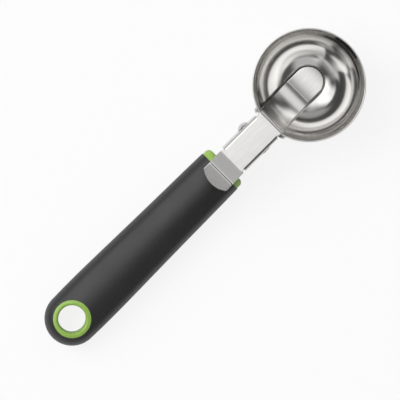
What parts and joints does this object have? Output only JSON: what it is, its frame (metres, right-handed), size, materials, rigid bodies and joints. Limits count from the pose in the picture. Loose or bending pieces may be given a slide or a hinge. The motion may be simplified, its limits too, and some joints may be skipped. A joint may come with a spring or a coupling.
{
  "type": "lever ice cream scoop",
  "caption": "Lever ice cream scoop: half-ball bowl on a channel neck, sprung thumb lever whose tongue sweeps the bowl, soft grip with a hanging hole.",
  "frame": {"origin": "centre of the hanging hole, halfway through the handle", "axes": "+X along the handle to the bowl, +Z along the hanging hole, out of the bowl's mouth, +Y to the side of the pivot pin's domed head"},
  "size_m": [0.2154, 0.0588, 0.0357],
  "materials": {
    "soft_grip": "fine matte soft-touch moulding",
    "green_plastic": "satin moulded polypropylene",
    "polished_steel": "mirror polished stainless steel",
    "lever_steel": "polished stainless steel strip",
    "neck_steel": "satin stainless steel stamping",
    "pin_steel": "polished stainless steel",
    "spring_steel": "drawn stainless spring wire",
    "washer_nylon": "natural nylon"
  },
  "bodies": {
    "root": {"handle_grip": "soft_grip", "handle_core": "green_plastic", "neck": "neck_steel", "bowl": "polished_steel", "pivot_pin": "pin_steel", "pivot_sleeve": "pin_steel", "left_washer": "washer_nylon", "right_washer": "washer_nylon", "return_spring": "spring_steel"},
    "lever": {"ejector_lever": "lever_steel"}
  },
  "joints": [
    {"name": "thumb_lever", "type": "hinge", "parent": "root", "child": "lever", "pos_m": [0.1324, 0, 0.0122], "axis": [0, -1, 0], "range_deg": [0, 20], "stiffness_Nm_per_rad": 0.45, "springref_deg": -14.32, "deforming": ["return_spring"]}
  ]
}
